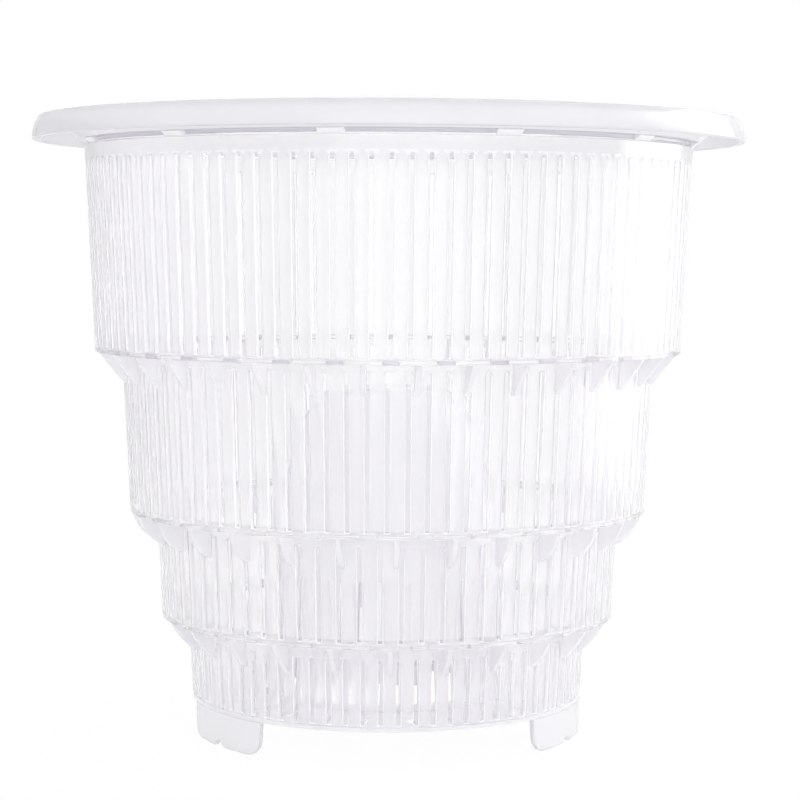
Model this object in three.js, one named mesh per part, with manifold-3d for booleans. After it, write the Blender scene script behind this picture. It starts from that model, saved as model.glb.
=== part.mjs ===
// A clear stepped net pot: four slotted tiers on three feet, a vented brim and a lift-out aeration dome.
// Millimetres, +Z up, standing on z = 0 and centred on the Z axis. Angles are in degrees, measured
// about Z from the front (-Y) towards +X.

import * as THREE from "three";
import { mergeVertices } from "three/addons/utils/BufferGeometryUtils.js";
import Module from "manifold-3d";

const wasm = await Module();
wasm.setup();

// Walls, sheets and fits
const wallThickness = 1; // tier walls
const sheetThickness = 1; // ledges and floor
const wallDraft = 2.75; // lean of every tier wall, inwards going down
const stepWidth = 6.8; // each tier's top stands in this far from the bottom of the tier above
const seam = 0.05; // between flat faces that rest on each other
const fitGap = 0.3; // between curved faces that lie side by side

// Tiers, from the top down
const tier1Height = 50.5;
const tier2Height = 39.5;
const tier3Height = 26;
const tier4Height = 20;
const tier1Bays = 36; // a bay is the stretch of wall between two ribs
const tier2Bays = 30;
const tier3Bays = 25;
const tier4Bays = 25;
const tier1Turn = 0.5; // where the first bay is centred
const tier2Turn = -4;
const tier3Turn = -6.3;
const tier4Turn = -6.3;
const tier1TopBand = 4; // plain band above the slots
const tier2TopBand = 2;
const tier3TopBand = 2.5;
const tier4TopBand = 3.5;
const slotsPerBay = 3;
const slotWidth = 1.15;
const slotSill = 0.6; // plain band below the slots

// Ribs and vents of the ledges
const ribThickness = 1.2;
const ribHeight = 7.5;
const ribTip = 0.6; // blunt end of a rib, beside the wall
const step1RibSwell = 0.1; // a rib's sloping edge swells out this far from a straight line
const step2RibSwell = 1.3;
const step3RibSwell = 0.5;
const ventLength = 4; // along the ledge
const ventWidth = 3; // across the ledge

// Rim
const rimDiameter = 180;
const brimReach = 13; // the lip stands out this far from the collar
const brimThickness = 1.6;
const brimHeight = 5.75; // lip's lower edge to the top of the brim
const lipThickness = 1.5;
const lipLean = 1.7; // the lip's outside stands in this far at the top
const lipUpright = 3.2; // the lip's outside starts to lean in about this far up
const rimVentHeight = 1.25; // gap between the top tier and the neck
const neckLean = 52; // slope of the flared neck, from vertical
const neckThickness = 1.5;
const bridgeCount = 12;
const bridgeWidth = 6.3;
const bridgeTurn = -9.6;

// Floor and feet
const footClearance = 8.5; // ground to the underside of the floor
const floorRingWidth = 21.15; // floor between its outer edge and the large hole
const locatingRingHeight = 1;
const locatingRingThickness = 1.5;
const drainCount = 25;
const drainWidth = 1.6;
const drainLength = 8;
const footCount = 3;
const footTurn = 64.2;
const footWidth = 32;
const footThickness = 1.3;
const footCornerRadius = 4.5;
const footNotchWidth = 5; // at the ground
const footNotchTop = 1.4; // at its upper end
const footNotchHeight = 1.3;

// Aeration dome
const domeWall = 1;
const domeTopDiameter = 34;
const domeHeight = 78;
const domeShoulderDiameter = 46.5;
const domeShoulderHeight = 65;
const domeWaistDiameter = 55.6;
const domeWaistHeight = 44;
const domeBays = 21;
const domeSlotsPerBay = 2;
const domeSlotWidth = 1.4;
const domeSlotHeight = 30;
const domeSill = 1.4;

// Roundness of the rim and of the small curves
const rimFacets = 60;
const lipSteps = 4;
const arcSteps = 2;

const clearPlastic = new THREE.MeshStandardMaterial({
  color: 0xf1f2f6,
  roughness: 0.12,
  metalness: 0,
  transparent: true,
  opacity: 0.35,
});
const hazyPlastic = new THREE.MeshStandardMaterial({
  color: 0xe4e5ea,
  roughness: 0.3,
  metalness: 0,
  transparent: true,
  opacity: 0.6,
});

const radians = THREE.MathUtils.degToRad;
const leanIn = Math.tan(radians(wallDraft));
const overcut = 5; // how far a cutting tool runs past the faces that it cuts
const weldDistance = 1e-3; // corners this close are one corner

// Levels, worked out from the ground up
const floorTop = footClearance + sheetThickness;
const ledge3Bottom = floorTop + tier4Height;
const ledge3Top = ledge3Bottom + sheetThickness;
const ledge2Bottom = ledge3Top + tier3Height;
const ledge2Top = ledge2Bottom + sheetThickness;
const ledge1Bottom = ledge2Top + tier2Height;
const ledge1Top = ledge1Bottom + sheetThickness;
const collarTop = ledge1Top + tier1Height;
const neckBottom = collarTop + rimVentHeight;

// Outer radius of each wall at its top and bottom, worked out from the rim down
const collarDiameter = rimDiameter - 2 * brimReach; // outside of the top tier at its upper edge
const tier1TopRadius = collarDiameter / 2;
const tier1BottomRadius = tier1TopRadius - tier1Height * leanIn;
const tier2TopRadius = tier1BottomRadius - stepWidth;
const tier2BottomRadius = tier2TopRadius - tier2Height * leanIn;
const tier3TopRadius = tier2BottomRadius - stepWidth;
const tier3BottomRadius = tier3TopRadius - tier3Height * leanIn;
const tier4TopRadius = tier3BottomRadius - stepWidth;
const tier4BottomRadius = tier4TopRadius - tier4Height * leanIn;
const floorHoleDiameter = 2 * (tier4BottomRadius - floorRingWidth);

// Closed solids and back

function toSolid(geometry) {
  geometry.deleteAttribute("normal");
  geometry.deleteAttribute("uv");
  const welded = mergeVertices(geometry, weldDistance);
  return new wasm.Manifold(
    new wasm.Mesh({
      numProp: 3,
      vertProperties: new Float32Array(welded.attributes.position.array),
      triVerts: new Uint32Array(welded.index.array),
      tolerance: weldDistance,
    })
  );
}

function toMesh(name, solid, material, height = 0) {
  const { vertProperties, triVerts } = solid.getMesh();
  const geometry = new THREE.BufferGeometry();
  geometry.setAttribute("position", new THREE.BufferAttribute(vertProperties, 3));
  geometry.setIndex(new THREE.BufferAttribute(triVerts, 1));
  geometry.computeVertexNormals();
  const mesh = new THREE.Mesh(geometry, material);
  mesh.name = name;
  mesh.position.z = height;
  return mesh;
}

// A ring turned about Z from a closed outline of [radius, height] corners
function turned(outline, facets, turn = 0) {
  const closed = [...outline, outline[0]].map(([r, z]) => new THREE.Vector2(r, z));
  const start = radians(turn - 180 / facets);
  const geometry = new THREE.LatheGeometry(closed, facets, start, 2 * Math.PI);
  return toSolid(geometry.rotateX(Math.PI / 2));
}

// A plate that faces outwards: its outline is [along the wall, height], its depth runs between two radii
function facingOut(shape, innerRadius, outerRadius, turn) {
  const geometry = new THREE.ExtrudeGeometry(shape, {
    depth: outerRadius - innerRadius,
    bevelEnabled: false,
    curveSegments: arcSteps,
  });
  geometry.translate(0, 0, innerRadius).rotateX(Math.PI / 2).rotateZ(radians(turn));
  return toSolid(geometry);
}

// A plate that stands edge-on to the wall: its outline is [radius, height]
function standingOut(shape, thickness, turn) {
  const geometry = new THREE.ExtrudeGeometry(shape, {
    depth: thickness,
    bevelEnabled: false,
    curveSegments: arcSteps,
  });
  geometry.translate(0, 0, -thickness / 2).rotateX(Math.PI / 2).rotateZ(radians(turn - 90));
  return toSolid(geometry);
}

function outlineShape(points) {
  return new THREE.Shape(points.map(([x, y]) => new THREE.Vector2(x, y)));
}

function rectangle(width, bottom, top) {
  const half = width / 2;
  return outlineShape([[-half, bottom], [half, bottom], [half, top], [-half, top]]);
}

// Tier walls

function tierWall({ name, height, topRadius, bottomRadius, bays, turn, topBand, base }) {
  const wallTop = height - seam;
  const outline = [
    [bottomRadius - wallThickness, seam],
    [bottomRadius, seam],
    [topRadius, wallTop],
    [topRadius - wallThickness, wallTop],
  ];
  const slot = rectangle(slotWidth, slotSill, height - topBand);
  const slots = bays * slotsPerBay;
  const firstSlot = turn - ((slotsPerBay - 1) * 180) / slots;
  let wall = turned(outline, bays, turn);
  for (let i = 0; i < slots; i++) {
    const inner = bottomRadius - wallThickness - overcut;
    wall = wall.subtract(facingOut(slot, inner, topRadius + overcut, firstSlot + (i * 360) / slots));
  }
  return toMesh(name, wall, clearPlastic, base);
}

// Ledges: a flat ring between two walls, vents in the middle of each bay and ribs on the bay lines.
// Heights here count from the underside of the ledge.

function ribShape(outerRadius, wallRadius, swell) {
  const foot = -ribHeight;
  const root = wallRadius + fitGap;
  const rootAtFoot = root - ribHeight * leanIn;
  const shape = new THREE.Shape();
  shape.moveTo(root, sheetThickness / 2);
  shape.lineTo(root, 0);
  shape.lineTo(rootAtFoot, foot);
  const tip = new THREE.Vector2(rootAtFoot + ribTip, foot);
  const end = new THREE.Vector2(outerRadius, 0);
  const slope = end.clone().sub(tip);
  const outwards = new THREE.Vector2(slope.y, -slope.x).setLength(2 * swell);
  const pull = tip.clone().lerp(end, 0.5).add(outwards); // the curve swells half as far as it is pulled
  shape.lineTo(tip.x, tip.y);
  shape.quadraticCurveTo(pull.x, pull.y, end.x, end.y);
  shape.lineTo(outerRadius, sheetThickness / 2);
  shape.closePath();
  return shape;
}

function stepLedge({ name, outerRadius, wallRadius, bays, turn, ribSwell, base }) {
  const innerRadius = wallRadius - wallThickness;
  const outline = [
    [innerRadius, 0],
    [outerRadius, 0],
    [outerRadius, sheetThickness],
    [innerRadius, sheetThickness],
  ];
  const bayAngle = 360 / bays;
  const ribReach = outerRadius * Math.cos(radians(bayAngle / 2)) - fitGap;
  const rib = ribShape(ribReach, wallRadius, ribSwell);
  const middle = (outerRadius - wallThickness + wallRadius) / 2;
  const vent = rectangle(ventLength, -overcut / 2, overcut / 2);
  let ledge = turned(outline, bays, turn);
  for (let i = 0; i < bays; i++) {
    const bayMiddle = turn + i * bayAngle;
    ledge = ledge.subtract(facingOut(vent, middle - ventWidth / 2, middle + ventWidth / 2, bayMiddle));
    ledge = ledge.add(standingOut(rib, ribThickness, bayMiddle + bayAngle / 2));
  }
  return toMesh(name, ledge, clearPlastic, base);
}

// Rim: flared neck, flat brim and turned-down lip. Heights count from the underside of the neck.

const neckSlope = Math.tan(radians(neckLean));
const neckAcross = neckThickness / Math.cos(radians(neckLean));
const neckOuterRadius = tier1TopRadius + rimVentHeight * neckSlope;
const neckInnerRadius = neckOuterRadius - neckAcross;

function rimBrim() {
  const rimRadius = rimDiameter / 2;
  const underBrim = brimHeight - brimThickness;
  const lipTop = rimRadius - lipLean;
  const outline = [
    [neckInnerRadius, 0],
    [neckOuterRadius, 0],
    [neckOuterRadius + underBrim * neckSlope, underBrim],
    [lipTop - lipThickness, underBrim],
    [rimRadius - lipThickness, 0],
    [rimRadius, 0],
  ];
  const lipCurve = new THREE.QuadraticBezierCurve(
    new THREE.Vector2(rimRadius, 0),
    new THREE.Vector2(rimRadius, lipUpright),
    new THREE.Vector2(lipTop, brimHeight)
  );
  for (const point of lipCurve.getPoints(lipSteps).slice(1)) {
    outline.push([point.x, point.y]);
  }
  outline.push([neckInnerRadius + brimHeight * neckSlope, brimHeight]);
  const facetTurn = 180 / rimFacets; // corners of the rim lie on the X and Y axes
  return toMesh("rim_brim", turned(outline, rimFacets, facetTurn), clearPlastic, neckBottom);
}

function rimBridge(index) {
  const facetDip = Math.cos(Math.PI / tier1Bays);
  const section = outlineShape([
    [tier1TopRadius - wallThickness, seam],
    [tier1TopRadius * facetDip, seam],
    [neckOuterRadius * facetDip, rimVentHeight - seam],
    [neckInnerRadius, rimVentHeight - seam],
  ]);
  const block = standingOut(section, bridgeWidth, bridgeTurn + (index * 360) / bridgeCount);
  const number = String(index + 1).padStart(2, "0");
  return toMesh(`rim_bridge_${number}`, block, clearPlastic, collarTop);
}

// Floor: a ring round the large drain hole, with a low ring that keeps the dome in the middle.
// Heights count from the underside of the floor.

const ringOuterRadius = floorHoleDiameter / 2 + locatingRingThickness;
const domeBaseRadius = (ringOuterRadius + fitGap) / Math.cos(Math.PI / domeBays) + domeWall;

function baseFloor() {
  const holeRadius = floorHoleDiameter / 2;
  const ringTop = sheetThickness + locatingRingHeight;
  const outline = [
    [holeRadius, 0],
    [tier4BottomRadius, 0],
    [tier4BottomRadius, sheetThickness],
    [ringOuterRadius, sheetThickness],
    [ringOuterRadius, ringTop],
    [holeRadius, ringTop],
  ];
  const drainMiddle = (domeBaseRadius + tier4BottomRadius - wallThickness) / 2;
  const drain = rectangle(drainWidth, -overcut / 2, overcut / 2);
  let floor = turned(outline, tier4Bays, tier4Turn);
  for (let i = 0; i < drainCount; i++) {
    const turn = tier4Turn + (i * 360) / drainCount;
    floor = floor.subtract(
      facingOut(drain, drainMiddle - drainLength / 2, drainMiddle + drainLength / 2, turn)
    );
  }
  return toMesh("base_floor", floor, clearPlastic, footClearance);
}

// Feet: curved upright plates below the edge of the floor

function footOutline(height) {
  const half = footWidth / 2;
  const corner = footCornerRadius;
  const notch = footNotchWidth / 2;
  const notchTop = footNotchTop / 2;
  const shape = new THREE.Shape();
  shape.moveTo(half, height);
  shape.lineTo(-half, height);
  shape.lineTo(-half, corner);
  shape.absarc(-half + corner, corner, corner, Math.PI, Math.PI * 1.5);
  shape.lineTo(-notch, 0);
  shape.lineTo(-notchTop, footNotchHeight);
  shape.lineTo(notchTop, footNotchHeight);
  shape.lineTo(notch, 0);
  shape.lineTo(half - corner, 0);
  shape.absarc(half - corner, corner, corner, Math.PI * 1.5, Math.PI * 2);
  shape.closePath();
  return shape;
}

function foot(index) {
  const height = footClearance - seam;
  const innerRadius = tier4BottomRadius - footThickness;
  const plate = turned(
    [
      [innerRadius, 0],
      [tier4BottomRadius, 0],
      [tier4BottomRadius, height],
      [innerRadius, height],
    ],
    rimFacets
  );
  const turn = footTurn + (index * 360) / footCount;
  const outline = facingOut(footOutline(height), innerRadius / 2, tier4BottomRadius + overcut, turn);
  return toMesh(`foot_${index + 1}`, plate.intersect(outline), clearPlastic);
}

// Aeration dome: a slotted cone with a bevelled closed top. Heights count from the top of the floor.

function aerationDome() {
  const waist = domeWaistDiameter / 2;
  const shoulder = domeShoulderDiameter / 2;
  const crown = domeTopDiameter / 2;
  const outline = [
    [domeBaseRadius - domeWall, seam],
    [domeBaseRadius, seam],
    [waist, domeWaistHeight],
    [shoulder, domeShoulderHeight],
    [crown, domeHeight],
    [0, domeHeight],
    [0, domeHeight - domeWall],
    [crown - domeWall / 2, domeHeight - domeWall],
    [shoulder - domeWall, domeShoulderHeight - domeWall / 2],
    [waist - domeWall, domeWaistHeight],
  ];
  const slot = rectangle(domeSlotWidth, domeSill, domeSill + domeSlotHeight);
  const slots = domeBays * domeSlotsPerBay;
  let dome = turned(outline, domeBays);
  for (let i = 0; i < slots; i++) {
    const turn = ((i + 0.5) * 360) / slots;
    dome = dome.subtract(facingOut(slot, crown, domeBaseRadius + overcut, turn));
  }
  return toMesh("aeration_dome", dome, hazyPlastic, floorTop);
}

// Assembly

const pot = new THREE.Group();
pot.name = "pot";
pot.add(rimBrim());
for (let i = 0; i < bridgeCount; i++) {
  pot.add(rimBridge(i));
}
pot.add(
  tierWall({
    name: "tier_1_wall",
    height: tier1Height,
    topRadius: tier1TopRadius,
    bottomRadius: tier1BottomRadius,
    bays: tier1Bays,
    turn: tier1Turn,
    topBand: tier1TopBand,
    base: ledge1Top,
  }),
  stepLedge({
    name: "step_1_ledge",
    outerRadius: tier1BottomRadius,
    wallRadius: tier2TopRadius,
    bays: tier1Bays,
    turn: tier1Turn,
    ribSwell: step1RibSwell,
    base: ledge1Bottom,
  }),
  tierWall({
    name: "tier_2_wall",
    height: tier2Height,
    topRadius: tier2TopRadius,
    bottomRadius: tier2BottomRadius,
    bays: tier2Bays,
    turn: tier2Turn,
    topBand: tier2TopBand,
    base: ledge2Top,
  }),
  stepLedge({
    name: "step_2_ledge",
    outerRadius: tier2BottomRadius,
    wallRadius: tier3TopRadius,
    bays: tier2Bays,
    turn: tier2Turn,
    ribSwell: step2RibSwell,
    base: ledge2Bottom,
  }),
  tierWall({
    name: "tier_3_wall",
    height: tier3Height,
    topRadius: tier3TopRadius,
    bottomRadius: tier3BottomRadius,
    bays: tier3Bays,
    turn: tier3Turn,
    topBand: tier3TopBand,
    base: ledge3Top,
  }),
  stepLedge({
    name: "step_3_ledge",
    outerRadius: tier3BottomRadius,
    wallRadius: tier4TopRadius,
    bays: tier3Bays,
    turn: tier3Turn,
    ribSwell: step3RibSwell,
    base: ledge3Bottom,
  }),
  tierWall({
    name: "tier_4_wall",
    height: tier4Height,
    topRadius: tier4TopRadius,
    bottomRadius: tier4BottomRadius,
    bays: tier4Bays,
    turn: tier4Turn,
    topBand: tier4TopBand,
    base: floorTop,
  }),
  baseFloor()
);
for (let i = 0; i < footCount; i++) {
  pot.add(foot(i));
}

const netPot = new THREE.Group();
netPot.name = "net_pot";
netPot.add(pot, aerationDome());

export default netPot;
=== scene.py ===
"""A clear stepped net pot with a slotted aeration dome, dressed for rendering.

Sizes are written in millimetres and turned into metres when a mesh is made. Angles about Z are in
degrees, from the front (-Y) towards +X, as in the part's own source.
"""

import bisect
import math
from collections import namedtuple

import bpy
from mathutils import Matrix, Vector


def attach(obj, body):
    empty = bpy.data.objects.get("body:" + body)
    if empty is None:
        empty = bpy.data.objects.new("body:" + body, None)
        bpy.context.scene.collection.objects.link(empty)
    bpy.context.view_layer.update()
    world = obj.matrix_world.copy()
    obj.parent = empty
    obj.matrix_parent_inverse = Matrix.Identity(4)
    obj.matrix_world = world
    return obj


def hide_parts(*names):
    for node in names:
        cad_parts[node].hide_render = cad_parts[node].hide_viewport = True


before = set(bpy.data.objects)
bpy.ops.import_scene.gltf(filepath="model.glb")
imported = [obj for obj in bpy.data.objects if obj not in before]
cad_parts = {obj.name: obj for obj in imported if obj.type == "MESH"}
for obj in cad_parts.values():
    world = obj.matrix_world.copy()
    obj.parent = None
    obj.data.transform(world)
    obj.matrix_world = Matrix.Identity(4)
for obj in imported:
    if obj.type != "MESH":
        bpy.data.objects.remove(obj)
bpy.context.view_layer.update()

MM = 0.001
UP = Vector((0, 0, 1))

# Sizes shared with the CAD part
WALL = 1.0
SHEET = 1.0
DRAFT = math.tan(math.radians(2.75))
STEP = 6.8
SLOTS_PER_BAY = 3
SLOT_WIDTH = 1.15
SLOT_SILL = 0.6
RIB_HEIGHT = 7.5
RIB_TIP = 0.6
RIB_THICKNESS = 1.2
VENT_LENGTH = 4.0
VENT_WIDTH = 3.0
RIM_RADIUS = 90.0
BRIM_REACH = 13.0
RIM_VENT = 1.25
BRIM_HEIGHT = 5.75
BRIM_THICKNESS = 1.6
LIP_THICKNESS = 1.5
LIP_LEAN = 1.7
LIP_UPRIGHT = 3.2
NECK_SLOPE = math.tan(math.radians(52))
NECK_ACROSS = 1.5 / math.cos(math.radians(52))
BRIDGES = 12
BRIDGE_WIDTH = 6.3
BRIDGE_TURN = -9.6
BRIDGE_PROUD = -0.1
FLOOR_LOW = 8.5
FLOOR_RING = 21.15
RING_HEIGHT = 1.0
RING_WIDTH = 1.5
DRAINS = 25
DRAIN_WIDTH = 1.6
DRAIN_LENGTH = 8.0
FEET = 3
FOOT_TURN = 64.2
FOOT_WIDTH = 32.0
FOOT_THICKNESS = 1.3
FOOT_CORNER = 4.5
FOOT_NOTCH = 5.0
FOOT_NOTCH_HEIGHT = 1.3
DOME_WALL = 1.0
DOME_SLOTS = 42
DOME_SLOT_WIDTH = 1.4
DOME_SLOT_LOW = 1.4
DOME_SLOT_HIGH = 31.4

# Tiers from the top down: height, bays, turn of the first bay, plain band above the slots, and how far
# the edge of the ribs below swells out from a straight line
TIERS = (
    {"height": 50.5, "bays": 36, "turn": 0.5, "band": 4.0, "rib_swell": 0.1},
    {"height": 39.5, "bays": 30, "turn": -4.0, "band": 2.0, "rib_swell": 1.3},
    {"height": 26.0, "bays": 25, "turn": -6.3, "band": 2.5, "rib_swell": 0.5},
    {"height": 20.0, "bays": 25, "turn": -6.3, "band": 3.5},
)

# Finish of the moulding
SEAM = 0.02  # left open at each side of a seam, so that no two faces meet
EDGE = 0.14  # rounding of small edges
SEAM_EDGE = 0.02  # rounding where one region of the moulding runs on into the next
SLOT_ROUNDING = 0.16  # at both faces of a wall
SLOT_FOOT = 0.12  # corners at the lower end of a slot
LEDGE_EDGE = 0.05  # rounding of a ledge's outer edge
FOOT_EDGE = 0.3
SKIRT_DROP = 0.95  # the neck's thin inner edge, turned down behind the vents to carry their painted shade
SKIRT_THICKNESS = 0.6
SKIRT_STAND = 0.4  # it stands inside the neck by this much
RIB_GAP = 0.06  # between a rib or a bridge and what stands beside it
RIB_SETBACK = 0.5  # of the ribs from the outer edge of their ledge
RIB_CORNER = 0.25
RIM_CORNER = 0.45
BRIDGE_CORNER = 0.15
VENT_CORNER = 0.4
RING_CORNER = 0.25
RING_SETBACK = 0.2  # of the locating ring from the edge of the floor's hole
HOLE_MARGIN = 0.7  # from a hole to the next row of corners, where there is room
HOLE_MARGIN_SHARE = 0.7  # of the room that there is, where it is less

# Fineness of the meshes
SHARP = 35  # degrees; a sharper edge is not smoothed over
FLAT_BEND = 12  # degrees; a corner that bends less is not rounded
CORNER_SHARE = 0.48  # of the shorter side beside it, at most, for a rounded corner
HOLE_STEPS = 3  # in a quarter of a hole's rounded end
EDGE_STEPS = 3  # across the rounded edge of a hole
HOOD_FINENESS = 20  # steps between two points of the dome's line
HOOD_ROWS = 28  # from the top of the dome's slots to its middle
HOOD_SLOT_STEPS = 8  # along a slot of the dome
RIB_STEPS = 10  # along the sloping edge of a rib
LIP_STEPS = 8  # up the leaning side of the lip
FOOT_STEPS = 8  # in half a notch and in a corner of a foot
FOOT_FLATS = 5  # between the notch and a corner of a foot
RIM_SIDES = 240
RING_SIDES = 100


def set_levels():
    """Works out each tier's levels from the floor up, and its outer radii from the collar down."""
    level = FLOOR_LOW + SHEET
    for tier in reversed(TIERS):
        tier["low"] = level
        tier["high"] = level + tier["height"]
        level = tier["high"] + SHEET
    radius = RIM_RADIUS - BRIM_REACH
    for tier in TIERS:
        tier["high_radius"] = radius
        tier["low_radius"] = radius - tier["height"] * DRAFT
        radius = tier["low_radius"] - STEP


set_levels()
FLOOR_TOP = FLOOR_LOW + SHEET
COLLAR_TOP = TIERS[0]["high"]
COLLAR_RADIUS = TIERS[0]["high_radius"]
NECK_LOW = COLLAR_TOP + RIM_VENT
NECK_RADIUS = COLLAR_RADIUS + RIM_VENT * NECK_SLOPE
SKIRT_RADIUS = NECK_RADIUS - NECK_ACROSS - SKIRT_STAND
BASE_RADIUS = TIERS[-1]["low_radius"]
HOLE_RADIUS = BASE_RADIUS - FLOOR_RING


# Meshes


def radial(turn):
    return Vector((math.sin(turn), -math.cos(turn), 0))


def around(turn):
    return Vector((math.cos(turn), math.sin(turn), 0))


class Moulding:
    """Collects corners and faces, and makes a piece of them."""

    def __init__(self):
        self.points = []
        self.faces = []
        self.other_finishes = []  # (material, first face, face after the last)

    def corner(self, point):
        self.points.append(point * MM)
        return len(self.points) - 1

    def face(self, *corners):
        ring = [c for i, c in enumerate(corners) if c != corners[i - 1]]
        if len(ring) > 2:
            self.faces.append(ring)

    def finish_from(self, first, material):
        """The faces made since the first one get a material of their own."""
        self.other_finishes.append((material, first, len(self.faces)))

    def band(self, first, second, closed=True):
        """Faces between two rows of corners; seen from outside, the second row lies above the first."""
        count = len(first)
        for i in range(count if closed else count - 1):
            j = (i + 1) % count
            self.face(first[i], first[j], second[j], second[i])

    def make(self, name, material, body, slot, *nodes):
        mesh = bpy.data.meshes.new(name)
        mesh.from_pydata(self.points, [], self.faces)
        mesh.shade_smooth()
        mesh.set_sharp_from_angle(angle=math.radians(SHARP))
        mesh.materials.append(material)
        for other, first, end in self.other_finishes:
            if other.name not in mesh.materials:
                mesh.materials.append(other)
            for polygon in mesh.polygons[first:end]:
                polygon.material_index = mesh.materials.find(other.name)
        piece = bpy.data.objects.new(name, mesh)
        bpy.context.scene.collection.objects.link(piece)
        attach(piece, body)
        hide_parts(*nodes)


def rounded(outline, radius, steps=3):
    """A closed anticlockwise outline with rounded corners, as (x, y, normal x, normal y)."""
    made = []
    count = len(outline)
    for i in range(count):
        before, here, after = (Vector(outline[(i + k) % count]) for k in (-1, 0, 1))
        come, go = here - before, after - here
        room = min(come.length, go.length) * CORNER_SHARE
        come.normalize()
        go.normalize()
        bend = -come.angle_signed(go)
        side = Vector((come.y, -come.x))
        if abs(bend) < math.radians(FLAT_BEND):
            middle = (side + Vector((go.y, -go.x))).normalized()
            made.append((here.x, here.y, middle.x, middle.y))
            continue
        cut = min(radius * math.tan(abs(bend) / 2), room)
        size = math.copysign(cut / math.tan(abs(bend) / 2), bend)
        centre = here - come * cut - side * size
        for k in range(steps + 1):
            normal = Matrix.Rotation(bend * k / steps, 2) @ side
            point = centre + normal * size
            made.append((point.x, point.y, normal.x, normal.y))
    return made


def turned(part, outline, steps):
    """A ring turned about Z from an outline in (radius, height)."""
    rings = []
    for k in range(steps):
        out = radial(2 * math.pi * k / steps)
        rings.append([part.corner(out * r + UP * z) for r, z, *_ in outline])
    for k in range(steps):
        part.band(rings[(k + 1) % steps], rings[k])


def plate(part, outline, thickness, turn, edge=EDGE):
    """A flat plate on a radius: its outline is in (radius, height), its thickness goes around."""
    out, side = radial(turn), around(turn)
    half = thickness / 2
    rows = []
    for shift, inset in ((-half, edge), (edge - half, 0), (half - edge, 0), (half, edge)):
        row = []
        for r, z, nr, nz in outline:
            row.append(part.corner(out * (r - nr * inset) + UP * (z - nz * inset) + side * shift))
        rows.append(row)
    for first, second in zip(rows, rows[1:]):
        part.band(second, first)
    part.face(*rows[0])
    part.face(*reversed(rows[-1]))


class Wall:
    """A leaning round wall: along is the height, depth goes inwards from its outside."""

    def __init__(self, low, low_radius, high, high_radius):
        self.low = low
        self.low_radius = low_radius
        self.slope = (high_radius - low_radius) / (high - low)

    def radius(self, along):
        return self.low_radius + (along - self.low) * self.slope

    def place(self, turn, along, depth):
        return radial(turn) * (self.radius(along) - depth) + UP * along


class Sheet:
    """A flat ring: along is the radius, depth goes up from its underside."""

    def __init__(self, low):
        self.low = low

    def radius(self, along):
        return along

    def place(self, turn, along, depth):
        return radial(turn) * along + UP * (self.low + depth)


class Hood:
    """A round hood with a curved side: along is the way up its outside, depth goes inwards."""

    def __init__(self, line):
        self.line = line
        self.lengths = [0]
        fine = [self.curve(k / HOOD_FINENESS)[0] for k in range(HOOD_FINENESS * (len(line) - 1) + 1)]
        for a, b in zip(fine, fine[1:]):
            self.lengths.append(self.lengths[-1] + (b - a).length)
        self.heights = [p.y for p in fine]

    def along_at(self, height):
        """How far up the side a height is."""
        return self.lengths[bisect.bisect_left(self.heights, height)]

    def at(self, along):
        k = min(max(bisect.bisect_right(self.lengths, along) - 1, 0), len(self.lengths) - 2)
        share = (along - self.lengths[k]) / (self.lengths[k + 1] - self.lengths[k])
        return self.curve((k + share) / HOOD_FINENESS)

    def curve(self, station):
        """The point and direction at a station of the line, where each of its points is one further."""
        i = min(int(station), len(self.line) - 2)
        t = station - i
        a, b = Vector(self.line[i]), Vector(self.line[i + 1])
        before = Vector(self.line[i - 1]) if i else a * 2 - b
        after = Vector(self.line[i + 2]) if i + 2 < len(self.line) else b * 2 - a
        p, q = (b - before) / 2, (after - a) / 2
        point = (a * (2 * t**3 - 3 * t**2 + 1) + p * (t**3 - 2 * t**2 + t)
                 + b * (3 * t**2 - 2 * t**3) + q * (t**3 - t**2))
        way = (a * (6 * t**2 - 6 * t) + p * (3 * t**2 - 4 * t + 1)
               + b * (6 * t - 6 * t**2) + q * (3 * t**2 - 2 * t))
        return point, way.normalized()

    def radius(self, along):
        return self.at(along)[0].x

    def place(self, turn, along, depth):
        point, way = self.at(along)
        inner = point - Vector((way.y, -way.x)) * depth
        return radial(turn) * max(inner.x, 0) + UP * inner.y


# A hole in a sheet: half its width, its ends, the radius of its lower and upper corners, the number of
# steps along its sides, the rounding of its edge and the material of that edge
Hole = namedtuple("Hole", "half low high corners sides rounding finish")


def hole_edge(hole, bottom, top):
    """The edge of a hole, anticlockwise from its lower right, and where in the bay each point ties to.

    A point is (across, along, normal across, normal along). A tie is (column, along), where the column
    is +1 or -1 for the bay's sides and 0 for its middle.
    """
    points, ties = [], []
    half = hole.half
    ends = (hole.low + hole.corners[0], hole.high - hole.corners[1])
    for sign in (1, -1):
        start, end = ends[::sign]
        limit, corner = (top, hole.corners[1]) if sign > 0 else (bottom, hole.corners[0])
        for k in range(hole.sides + 1):
            v = start + (end - start) * k / hole.sides
            points.append((sign * half, v, -sign, 0))
            ties.append((sign, v))
        for quarter in (0, 1):
            for k in range(1, HOLE_STEPS + 1) if quarter == 0 else range(HOLE_STEPS):
                if quarter == 1 and k == 0 and corner == half:
                    continue  # a round end has this point already
                share = quarter + k / HOLE_STEPS
                a = math.radians(90 * share)
                x = (half - corner) * (1 - 2 * quarter) + corner * math.cos(a)
                y = corner * math.sin(a)
                points.append((sign * x, end + sign * y, -sign * math.cos(a), -sign * math.sin(a)))
                column = 0 if share == 1 else (1 if share < 1 else -1)
                rise = min(1, 1.5 * (1 - abs(share - 1)))  # ties reach the limit before the end's middle
                ties.append((sign * column, end + (limit - end) * rise))
    return points, ties


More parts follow.
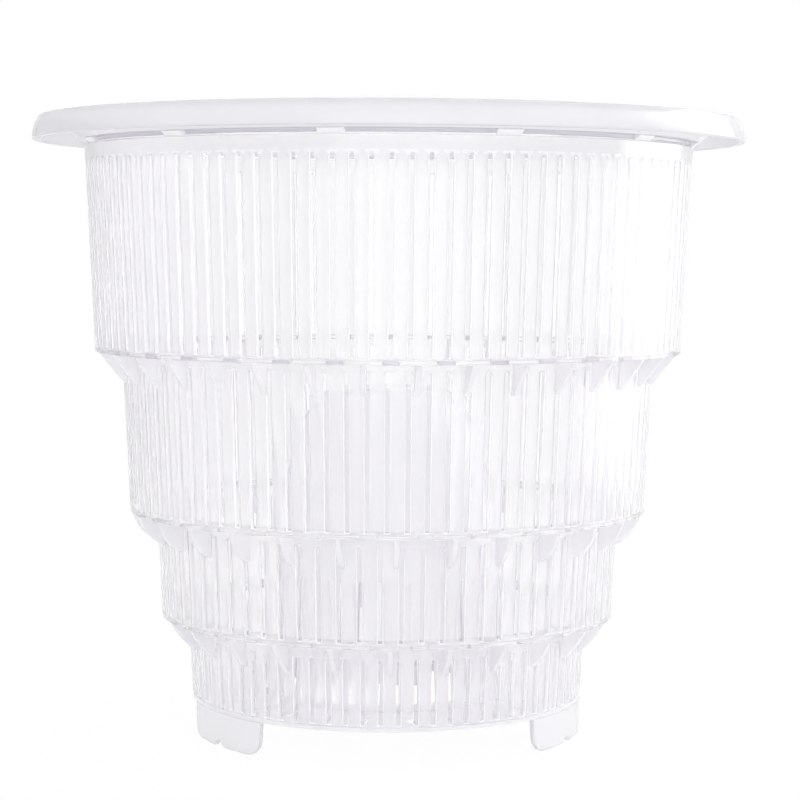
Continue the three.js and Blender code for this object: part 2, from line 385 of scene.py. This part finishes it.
def edge_rows(rounding, thickness):
    """Rows of (inset, depth) from one face of a sheet to the other, round the edge of a hole in it."""
    arc = [math.radians(90 * k / EDGE_STEPS) for k in range(EDGE_STEPS + 1)]
    rows = [(-rounding * (1 - math.sin(a)), rounding * (1 - math.cos(a))) for a in arc]
    return rows + [(inset, thickness - depth) for inset, depth in reversed(rows)]


def perforated(part, surface, ends, thickness, bays, hole, edges, rows_above=(), closed_top=False):
    """A round sheet with one hole in the middle of each bay.

    Ends are where the sheet starts and stops along its surface, and edges are the rounding there. Bays are
    (count, turn of the first).
    """
    low, high = ends
    low_edge, high_edge = edges
    count, turn = bays
    bottom = hole.low - min(HOLE_MARGIN, (hole.low - low - low_edge) * HOLE_MARGIN_SHARE)
    first_row = rows_above[0] if rows_above else high - high_edge
    top = hole.high + min(HOLE_MARGIN, (first_row - hole.high) * HOLE_MARGIN_SHARE)
    points, ties = hole_edge(hole, bottom, top)
    pitch = 2 * math.pi / count
    depths = {
        "outside": 0,
        "low outer": low_edge,
        "low inner": thickness - low_edge,
        "high outer": high_edge,
        "high inner": thickness - high_edge,
        "inside": thickness,
    }
    made = {}

    def at(column, along, layer):
        column %= 2 * count
        pole = closed_top and along == high
        key = (0 if pole else column, round(along, 5), layer)
        if key not in made:
            angle = math.radians(turn) + (column - 1) * pitch / 2
            made[key] = part.corner(surface.place(angle, along, depths[layer]))
        return made[key]

    def strip(column, stations):
        """Faces up one half bay, through stations of (along, layer)."""
        for (v, a), (w, b) in zip(stations, stations[1:]):
            part.face(at(column, v, a), at(column + 1, v, a), at(column + 1, w, b), at(column, w, b))

    above = [top, *rows_above, high if closed_top else high - high_edge]
    below = [low + low_edge, bottom]
    over = [(above[-1], "outside"), (high, "high outer"), (high, "high inner"), (above[-1], "inside")]
    under = [(below[0], "inside"), (low, "low inner"), (low, "low outer"), (below[0], "outside")]
    for bay in range(count):
        middle = math.radians(turn) + bay * pitch
        rings = []
        for inset, depth in edge_rows(hole.rounding, thickness):
            ring = []
            for x, v, nx, nv in points:
                w = v + nv * inset
                angle = middle + (x + nx * inset) / surface.radius(w)
                ring.append(part.corner(surface.place(angle, w, depth)))
            rings.append(ring)
        edge_start = len(part.faces)
        for first, second in zip(rings, rings[1:]):
            part.band(first, second)
        part.finish_from(edge_start, hole.finish)
        column = 2 * bay + 1
        part.band([at(column + c, v, "outside") for c, v in ties], rings[0])
        part.band(rings[-1], [at(column + c, v, "inside") for c, v in ties])
        for c in (column - 1, column):
            strip(c, [(v, "outside") for v in below])
            strip(c, [(v, "outside") for v in above])
            if not closed_top:
                strip(c, over)
            strip(c, [(v, "inside") for v in reversed(above)])
            strip(c, [(v, "inside") for v in reversed(below)])
            strip(c, under)


# Finishes


class Level:
    """A number that changes over a surface. Sums with it add Math nodes."""

    def __init__(self, finish, socket):
        self.finish = finish
        self.socket = socket

    def sum(self, operation, first, second):
        return self.finish.node("ShaderNodeMath", {"operation": operation}, {0: first, 1: second})

    def __add__(self, other):
        return self.sum("ADD", self, other)

    def __mul__(self, other):
        return self.sum("MULTIPLY", self, other)

    def __sub__(self, other):
        return self.sum("SUBTRACT", self, other)

    def __rsub__(self, other):
        return self.sum("SUBTRACT", other, self)

    def above(self, other):
        return self.sum("MAXIMUM", self, other)

    __radd__ = __add__
    __rmul__ = __mul__


class Finish:
    """The node tree of a material or of the world."""

    def __init__(self, owner):
        owner.use_nodes = True
        self.tree = owner.node_tree
        self.tree.nodes.clear()

    def node(self, kind, settings=None, inputs=None, output=0):
        made = self.tree.nodes.new(kind)
        for name, value in (settings or {}).items():
            if name == "stops":
                for stop, (place, colour) in zip(made.color_ramp.elements, value):
                    stop.position, stop.color = place, colour
            else:
                setattr(made, name, value)
        for key, value in (inputs or {}).items():
            if isinstance(value, Level):
                self.tree.links.new(value.socket, made.inputs[key])
            else:
                made.inputs[key].default_value = value
        return Level(self, made.outputs[output]) if made.outputs else None


def smooth_rise(finish, level, start, end):
    """0 before start and 1 past end, with a smooth way between."""
    return finish.node(
        "ShaderNodeMapRange",
        {"interpolation_type": "SMOOTHSTEP"},
        {"Value": level, "From Min": start, "From Max": end},
    )


PLASTIC_IOR = 1.49
FLOW_SCALE = (60, 60, 14)  # the haze is drawn out upwards, the way the plastic flowed
SPECK_SCALE = 900.0
SWELL_SCALE = 140.0
HAZE_RANGE = (0.3, 0.75)  # of the noise, from no haze to full haze
GLOSS = 0.098  # roughness of the clearest spots
GLOSS_HAZE = 0.056  # more of it in the haze
GLOSS_SPECKS = 0.028  # and in the specks
WAVE_HEIGHT = 0.0004
SPECK_HEIGHT = 0.03  # of the specks beside the waves
# Painted shade: a deep lilac-grey tint in a band across the gap of the rim vents, on the neck's underside
# and the outside of its skirt
VENT_SHADE_TINT = (0.7, 0.685, 0.75, 1.0)
BAND_FADE = 0.1  # mm
VENT_SHADE_BAND = (COLLAR_TOP + BAND_FADE, NECK_LOW, SKIRT_RADIUS + SKIRT_THICKNESS - BAND_FADE)


def band_mask(finish, place, band):
    """1 in a band of (low, high, inner radius) in mm, and 0 past its fading edges."""
    low, high, radius = (v * MM for v in band)
    fade = BAND_FADE * MM
    across, depth, height = (finish.node("ShaderNodeSeparateXYZ", {}, {0: place}, k) for k in "XYZ")
    outside = smooth_rise(finish, across * across + depth * depth, (radius - fade) ** 2, radius**2)
    over_low = smooth_rise(finish, height, low - fade, low)
    over_high = smooth_rise(finish, height, high, high + fade)
    return outside * over_low * (1 - over_high)


def clear_plastic(name, tint, haze_tint, clearness, wave, painted_shade_band=None):
    """Moulded clear plastic: a faint flow haze in its colour, uneven gloss and slow waves in its surface.

    In a painted shade band, a thin edge of the plastic has a deeper tint, standing in for the shade in the
    gap of the rim vents.
    """
    material = bpy.data.materials.new(name)
    finish = Finish(material)
    place = finish.node("ShaderNodeTexCoord", output="Object")
    flow = finish.node("ShaderNodeMapping", {}, {"Vector": place, "Scale": FLOW_SCALE})
    haze = finish.node("ShaderNodeTexNoise", {}, {"Vector": flow, "Scale": 1.0, "Detail": 2.0})
    specks = finish.node("ShaderNodeTexNoise", {}, {"Vector": place, "Scale": SPECK_SCALE, "Detail": 1.0})
    swell = finish.node("ShaderNodeTexNoise", {}, {"Vector": place, "Scale": SWELL_SCALE, "Detail": 0.0})
    stops = ((HAZE_RANGE[0], (*tint, 1)), (HAZE_RANGE[1], (*haze_tint, 1)))
    colour = finish.node("ShaderNodeValToRGB", {"stops": stops}, {0: haze})
    # Painted shade of the rim vents, where a band is given
    if painted_shade_band:
        mask = band_mask(finish, place, painted_shade_band)
        colour = finish.node(
            "ShaderNodeMix", {"data_type": "RGBA"}, {0: mask, 6: colour, 7: VENT_SHADE_TINT}, output=2
        )
    gloss = haze * GLOSS_HAZE + specks * GLOSS_SPECKS + GLOSS
    bump = finish.node(
        "ShaderNodeBump",
        {},
        {"Strength": wave, "Distance": WAVE_HEIGHT, "Height": swell + specks * SPECK_HEIGHT},
    )
    shader = finish.node(
        "ShaderNodeBsdfPrincipled",
        {},
        {
            "Base Color": colour,
            "Roughness": gloss,
            "IOR": PLASTIC_IOR,
            "Transmission Weight": clearness,
            "Normal": bump,
        },
    )
    finish.node("ShaderNodeOutputMaterial", {}, {"Surface": shader})
    return material


# Tint, tint in the haze, clearness and waves of each plastic. The pot is one clear plastic: besides the
# first, its copies here carry painted light and shade, and the dome has its own hazy plastic.
CLEAR = clear_plastic("clear_moulded_plastic", (0.997, 0.994, 1.0), (0.99, 0.986, 0.996), 0.82, 0.002)
# Painted light: a paler, less clear copy on the slot sides, which lightens the shade lines along the slots
SLOT_SIDE = clear_plastic("slot_side_painted_light", (0.972, 0.966, 0.984), (0.96, 0.954, 0.973), 0.3, 0.004)
# Painted shade: the first ledge's vent sides are tinted deep lilac-grey for the dark dashes that the
# openings show
VENT_SIDE_SHADE = clear_plastic("vent_side_painted_shade", (0.76, 0.745, 0.81), (0.73, 0.715, 0.78), 0.4, 0.02)
# Painted shade: darker, milkier copies on the ribs under the ledges, the lower ledges' vent sides, the
# floor and the feet
MILKY = clear_plastic("milky_rib_painted_shade", (0.942, 0.938, 0.954), (0.932, 0.928, 0.945), 0.4, 0.02)
FLOOR = clear_plastic("milky_floor_painted_shade", (0.952, 0.948, 0.964), (0.942, 0.938, 0.955), 0.35, 0.02)
FOOT = clear_plastic("milky_foot_painted_shade", (0.905, 0.901, 0.92), (0.895, 0.89, 0.91), 0.45, 0.02)
# Painted shade: a darker lilac copy on the rim, which also carries the painted vent shade band
RIM = clear_plastic("milky_rim_painted_shade", (0.91, 0.905, 0.925), (0.9, 0.895, 0.915), 0.5, 0.02, VENT_SHADE_BAND)
# Painted light: a pale, nearly opaque copy that makes the rim bridges and the dome's slot edges read white
PALE = clear_plastic("pale_painted_light", (0.975, 0.973, 0.982), (0.965, 0.962, 0.973), 0.15, 0.02)
HAZY = clear_plastic("hazy_moulded_plastic", (0.95, 0.946, 0.963), (0.94, 0.936, 0.954), 0.38, 0.02)


# Pieces


def tier_wall(number, tier):
    part = Moulding()
    wall = Wall(tier["low"], tier["low_radius"], tier["high"], tier["high_radius"])
    bays = (tier["bays"] * SLOTS_PER_BAY, tier["turn"] - 360 / tier["bays"] / SLOTS_PER_BAY)
    half = SLOT_WIDTH / 2
    slot = Hole(
        half=half,
        low=tier["low"] + SLOT_SILL,
        high=tier["high"] - tier["band"],
        corners=(SLOT_FOOT, half),
        sides=1,
        rounding=SLOT_ROUNDING,
        finish=SLOT_SIDE,
    )
    ends = (tier["low"] + SEAM, tier["high"] - SEAM)
    edges = (SEAM_EDGE, EDGE if number == 1 else SEAM_EDGE)
    perforated(part, wall, ends, WALL, bays, slot, edges)
    part.make(f"slotted_wall_{number}", CLEAR, "pot", "clear_plastic", f"tier_{number}_wall")


def rib_outline(reach, root, level, swell):
    """A rib under a ledge, from the wall outwards, with a sloping edge that swells out a little."""
    low = level - RIB_HEIGHT
    root_low = root - RIB_HEIGHT * DRAFT
    tip, end = Vector((root_low + RIB_TIP, low)), Vector((reach, level))
    slope = end - tip
    pull = (tip + end) / 2 + Vector((slope.y, -slope.x)).normalized() * 2 * swell
    outline = [(root, level), (root_low, low)]
    for k in range(RIB_STEPS + 1):
        s = k / RIB_STEPS
        outline.append(tuple(tip * (1 - s) ** 2 + pull * 2 * s * (1 - s) + end * s * s))
    return rounded(outline, RIB_CORNER, steps=2)


def step_ledge(number, upper, lower):
    part = Moulding()
    inner, outer = lower["high_radius"] - WALL, upper["low_radius"]
    level = lower["high"]
    middle = (outer - WALL + lower["high_radius"]) / 2
    vent = Hole(
        half=VENT_LENGTH / 2,
        low=middle - VENT_WIDTH / 2,
        high=middle + VENT_WIDTH / 2,
        corners=(VENT_CORNER, VENT_CORNER),
        sides=1,
        rounding=EDGE,
        finish=VENT_SIDE_SHADE if number == 1 else MILKY,
    )
    count, turn = upper["bays"], upper["turn"]
    perforated(part, Sheet(level), (inner, outer), SHEET, (count, turn), vent, (SEAM_EDGE, LEDGE_EDGE))
    ribs_start = len(part.faces)
    bay = 360 / count
    root = lower["high_radius"] + RIB_GAP
    rib = rib_outline(outer - RIB_SETBACK, root, level - SEAM, upper["rib_swell"])
    for k in range(count):
        plate(part, rib, RIB_THICKNESS, math.radians(turn + (k + 0.5) * bay))
    part.finish_from(ribs_start, MILKY)
    part.make(f"ribbed_step_{number}", CLEAR, "pot", "clear_plastic", f"step_{number}_ledge")


def rim():
    part = Moulding()
    under = BRIM_HEIGHT - BRIM_THICKNESS
    lip_top = RIM_RADIUS - LIP_LEAN
    inner = NECK_RADIUS - NECK_ACROSS
    outline = [
        (SKIRT_RADIUS, 0),
        (SKIRT_RADIUS, -SKIRT_DROP),
        (SKIRT_RADIUS + SKIRT_THICKNESS, -SKIRT_DROP),
        (SKIRT_RADIUS + SKIRT_THICKNESS, 0),
        (NECK_RADIUS, 0),
        (NECK_RADIUS + under * NECK_SLOPE, under),
        (lip_top - LIP_THICKNESS, under),
        (RIM_RADIUS - LIP_THICKNESS, 0),
        (RIM_RADIUS, 0),
    ]
    for k in range(1, LIP_STEPS + 1):
        t = k / LIP_STEPS
        height = 2 * t * (1 - t) * LIP_UPRIGHT + t * t * BRIM_HEIGHT
        outline.append((RIM_RADIUS - LIP_LEAN * t * t, height))
    outline.append((inner + BRIM_HEIGHT * NECK_SLOPE, BRIM_HEIGHT))
    turned(part, rounded([(r, z + NECK_LOW) for r, z in outline], RIM_CORNER), RIM_SIDES)
    part.make("flared_rim", RIM, "pot", "clear_plastic", "rim_brim")


def rim_bridge(index):
    part = Moulding()
    low, high = COLLAR_TOP + SEAM, NECK_LOW - SEAM
    inner = SKIRT_RADIUS + SKIRT_THICKNESS + RIB_GAP
    outline = [
        (inner, low),
        (COLLAR_RADIUS + BRIDGE_PROUD, low),
        (NECK_RADIUS + BRIDGE_PROUD, high),
        (inner, high),
    ]
    turn = math.radians(BRIDGE_TURN + index * 360 / BRIDGES)
    plate(part, rounded(outline, BRIDGE_CORNER, steps=2), BRIDGE_WIDTH, turn)
    number = f"{index + 1:02d}"
    part.make(f"vent_bridge_{number}", PALE, "pot", "clear_plastic", f"rim_bridge_{number}")


def floor_ring():
    """The floor with its drain slots, and the low ring on it that keeps the dome in its place."""
    part = Moulding()
    half = DRAIN_WIDTH / 2
    dome_foot = DOME_LINE[0][0]
    middle = (dome_foot + BASE_RADIUS - WALL) / 2
    drain = Hole(
        half=half,
        low=middle - DRAIN_LENGTH / 2,
        high=middle + DRAIN_LENGTH / 2,
        corners=(half, half),
        sides=1,
        rounding=EDGE,
        finish=FLOOR,
    )
    bays = (DRAINS, TIERS[-1]["turn"])
    perforated(part, Sheet(FLOOR_LOW), (HOLE_RADIUS, BASE_RADIUS), SHEET, bays, drain, (EDGE, LEDGE_EDGE))
    low, high = FLOOR_TOP + SEAM, FLOOR_TOP + RING_HEIGHT
    inner, outer = HOLE_RADIUS + RING_SETBACK, HOLE_RADIUS + RING_WIDTH
    ring = [(inner, low), (outer, low), (outer, high), (inner, high)]
    turned(part, rounded(ring, RING_CORNER), RING_SIDES)
    part.make("drained_floor", FLOOR, "pot", "clear_plastic", "base_floor")


def foot_line():
    """The lower edge of a foot from left to right: rounded ends and a shallow notch in the middle."""
    half, corner = FOOT_WIDTH / 2, FOOT_CORNER
    notch = FOOT_NOTCH / 2
    right = []
    for k in range(FOOT_STEPS + 1):
        rise = 0.5 + 0.5 * math.cos(math.pi * k / FOOT_STEPS)
        right.append((notch * k / FOOT_STEPS, FOOT_NOTCH_HEIGHT * rise))
    for k in range(1, FOOT_FLATS):
        right.append((notch + (half - corner - notch) * k / FOOT_FLATS, 0))
    for k in range(FOOT_STEPS + 1):
        a = math.radians(90 * k / FOOT_STEPS)
        right.append((half - corner + corner * math.sin(a), corner - corner * math.cos(a)))
    return [(-s, z) for s, z in reversed(right[1:])] + right


def foot(index):
    part = Moulding()
    high = FLOOR_LOW - SEAM
    wall = Wall(0, BASE_RADIUS, FLOOR_LOW, BASE_RADIUS)
    middle = math.radians(FOOT_TURN + index * 360 / FEET)
    lower = foot_line()
    outline = lower + [(s, high) for s, z in reversed(lower)]
    count = len(lower)
    shaped = []
    for i, (s, z) in enumerate(outline):
        before, after = Vector(outline[i - 1]), Vector(outline[(i + 1) % len(outline)])
        way = (after - before).normalized()
        shaped.append((s, z, way.y, -way.x, FOOT_EDGE if i < count else SEAM_EDGE))
    rows = []
    for depth, share in ((0, 1), (FOOT_EDGE, 0), (FOOT_THICKNESS - FOOT_EDGE, 0), (FOOT_THICKNESS, 1)):
        row = []
        for s, z, ns, nz, edge in shaped:
            along = z - nz * edge * share
            turn = middle + (s - ns * edge * share) / wall.radius(along)
            row.append(part.corner(wall.place(turn, along, depth)))
        rows.append(row)
    for first, second in zip(rows, rows[1:]):
        part.band(second, first)
    for row, flip in ((rows[0], False), (rows[-1], True)):
        low_row, high_row = row[:count], list(reversed(row[count:]))
        part.band(*((high_row, low_row) if flip else (low_row, high_row)), closed=False)
    part.make(f"curved_foot_{index + 1}", FOOT, "pot", "clear_plastic", f"foot_{index + 1}")


# Outside of the dome from its foot up, as (radius, height)
DOME_LINE = tuple(
    (r, z + FLOOR_TOP)
    for r, z in (
        (32.1, 0.05), (31.4, 8.0), (30.6, 16.0), (29.8, 25.0), (28.9, 34.0), (27.8, 44.0),
        (26.2, 54.0), (24.6, 61.0), (22.9, 66.5), (20.9, 71.0), (18.9, 74.2), (16.7, 76.4), (14.0, 77.6),
        (11.0, 78.0), (6.0, 78.0), (0.0, 78.0),
    )
)


def dome():
    part = Moulding()
    hood = Hood(DOME_LINE)
    half = DOME_SLOT_WIDTH / 2
    slot = Hole(
        half=half,
        low=hood.along_at(FLOOR_TOP + DOME_SLOT_LOW),
        high=hood.along_at(FLOOR_TOP + DOME_SLOT_HIGH),
        corners=(half, half),
        sides=HOOD_SLOT_STEPS,
        rounding=EDGE,
        finish=PALE,
    )
    middle = hood.lengths[-1]
    rows = [slot.high + (middle - slot.high) * k / HOOD_ROWS for k in range(1, HOOD_ROWS)]
    bays = (DOME_SLOTS, 360 / DOME_SLOTS / 2)
    perforated(part, hood, (0, middle), DOME_WALL, bays, slot, (EDGE, 0), rows, closed_top=True)
    part.make("slotted_dome", HAZY, "dome", "hazy_plastic", "aeration_dome")


for i, tier in enumerate(TIERS):
    tier_wall(i + 1, tier)
for i, (upper, lower) in enumerate(zip(TIERS, TIERS[1:])):
    step_ledge(i + 1, upper, lower)
rim()
for i in range(BRIDGES):
    rim_bridge(i)
floor_ring()
for i in range(FEET):
    foot(i)
dome()


# Stage, in metres

GROUND_REACH = 0.5
GROUND_SIDES = 96
GROUND_LEVEL = -0.0003  # just below the feet
GROUND_COLOUR = (0.96, 0.96, 0.96, 1.0)
GROUND_GLOW = 0.95  # share of plain white to the eye; the rest shows the shadow
LIGHT_PATHS = ("Is Camera Ray", "Is Glossy Ray", "Is Transmission Ray")
WHITE = (1.0, 1.0, 1.0, 1.0)
SHADE = (0.12, 0.11, 0.19, 1.0)  # of a dim side of the studio

# How dim each side of the studio is
FRONT_DIM = 0.2
LEFT_DIM = 0.28
BACK_DIM = (0.16, 0.03)  # at its left and its right end

# Where a change between two sides starts and ends, on an axis of the way that the light comes from
FRONT_RISE = (-0.2, -0.8)
FRONT_RIGHT_END = (0.4, 0.7)
LEFT_RISE = (-0.12, -0.4)
BACK_RISE = (0.5, 0.8)
BACK_LEFT_TO_RIGHT = (-0.16, 0.16)

LAMPS = (
    {"name": "softbox", "place": (1.1, 0.5, 0.35), "aim": (0, 0, 0.06), "size": 1.0, "watts": 6.0},
    {"name": "front_fill", "place": (0.15, -1.3, 0.2), "aim": (0, 0, 0.05), "size": 1.2, "watts": 3.2},
)

EYE_PLACE = (0, -0.5632, 0.1235)
EYE_TILT = 4.0  # degrees down
EYE_YAW = -0.32  # degrees
EYE_ROLL = 0.3  # degrees
EYE_NEAR = 0.01
FRAME_PIXELS = 800
FOCAL_PIXELS = 2193
SENSOR_MM = 36


def ground():
    """A plain pale floor: white to the eye and through clear plastic, and still shaded by the pot."""
    mesh = bpy.data.meshes.new("floor")
    turns = [2 * math.pi * k / GROUND_SIDES for k in range(GROUND_SIDES)]
    corners = [radial(turn) * GROUND_REACH + UP * GROUND_LEVEL for turn in turns]
    mesh.from_pydata(corners, [], [tuple(range(GROUND_SIDES))])
    material = bpy.data.materials.new("pale_floor")
    finish = Finish(material)
    matt = finish.node("ShaderNodeBsdfDiffuse", {}, {"Color": GROUND_COLOUR})
    glow = finish.node("ShaderNodeEmission", {}, {"Color": WHITE, "Strength": 1.0})
    white_share = seen_directly(finish) * GROUND_GLOW
    shade = finish.node("ShaderNodeMixShader", {}, {0: white_share, 1: matt, 2: glow})
    finish.node("ShaderNodeOutputMaterial", {}, {"Surface": shade})
    mesh.materials.append(material)
    floor = bpy.data.objects.new("floor", mesh)
    bpy.context.scene.collection.objects.link(floor)


def seen_directly(finish):
    """1 for what the eye sees, also in a reflection or through clear plastic."""
    eye, glossy, through = (finish.node("ShaderNodeLightPath", output=k) for k in LIGHT_PATHS)
    return eye.above(glossy).above(through)


def studio():
    """White all round. Clear plastic alone picks up a dim front and left, and a slightly dim back.

    Light that a matt face has scattered on its way comes from the white studio again.
    """
    world = bpy.data.worlds.new("studio")
    bpy.context.scene.world = world
    finish = Finish(world)
    way = finish.node("ShaderNodeTexCoord", output="Generated")
    across, depth = (finish.node("ShaderNodeSeparateXYZ", {}, {0: way}, k) for k in "XY")
    front = smooth_rise(finish, depth, *FRONT_RISE) * (1 - smooth_rise(finish, across, *FRONT_RIGHT_END))
    left = smooth_rise(finish, across, *LEFT_RISE)
    to_left = 1 - smooth_rise(finish, across, *BACK_LEFT_TO_RIGHT)
    back = smooth_rise(finish, depth, *BACK_RISE) * (to_left * (BACK_DIM[0] - BACK_DIM[1]) + BACK_DIM[1])
    dim = (front * FRONT_DIM).above(left * LEFT_DIM).above(back)
    glossy, through = (finish.node("ShaderNodeLightPath", output=k) for k in LIGHT_PATHS[1:])
    bounces = finish.node("ShaderNodeLightPath", output="Diffuse Depth")
    unscattered = 1 - smooth_rise(finish, bounces, 0, 1)
    colour = finish.node(
        "ShaderNodeMix",
        {"data_type": "RGBA"},
        {0: dim * glossy.above(through) * unscattered, 6: WHITE, 7: SHADE},
        output=2,
    )
    light = finish.node("ShaderNodeBackground", {}, {"Color": colour, "Strength": 1.0})
    finish.node("ShaderNodeOutputWorld", {}, {"Surface": light})


def lamp(name, place, aim, size, watts):
    light = bpy.data.lights.new(name, "AREA")
    light.shape = "SQUARE"
    light.size = size
    light.energy = watts
    lamp_object = bpy.data.objects.new(name, light)
    lamp_object.location = place
    lamp_object.rotation_euler = (Vector(aim) - Vector(place)).to_track_quat("-Z", "Y").to_euler()
    bpy.context.scene.collection.objects.link(lamp_object)


def camera():
    """In front, a little below the rim, looking slightly down."""
    data = bpy.data.cameras.new("camera")
    data.lens = SENSOR_MM * FOCAL_PIXELS / FRAME_PIXELS
    data.clip_start = EYE_NEAR
    eye = bpy.data.objects.new("camera", data)
    eye.location = EYE_PLACE
    pitch = Matrix.Rotation(math.radians(90 - EYE_TILT), 3, "X")
    yaw = Matrix.Rotation(math.radians(EYE_YAW), 3, "Z")
    roll = Matrix.Rotation(math.radians(EYE_ROLL), 3, "Z")
    eye.rotation_euler = (yaw @ pitch @ roll).to_euler()
    bpy.context.scene.collection.objects.link(eye)
    bpy.context.scene.camera = eye


ground()
studio()
for values in LAMPS:
    lamp(**values)
camera()

scene = bpy.context.scene
scene.view_settings.view_transform = "Standard"
scene.cycles.blur_glossy = 0.0
scene.cycles.max_bounces = 40
scene.cycles.diffuse_bounces = 24
scene.cycles.transmission_bounces = 40
scene.cycles.glossy_bounces = 16
scene.cycles.transparent_max_bounces = 16
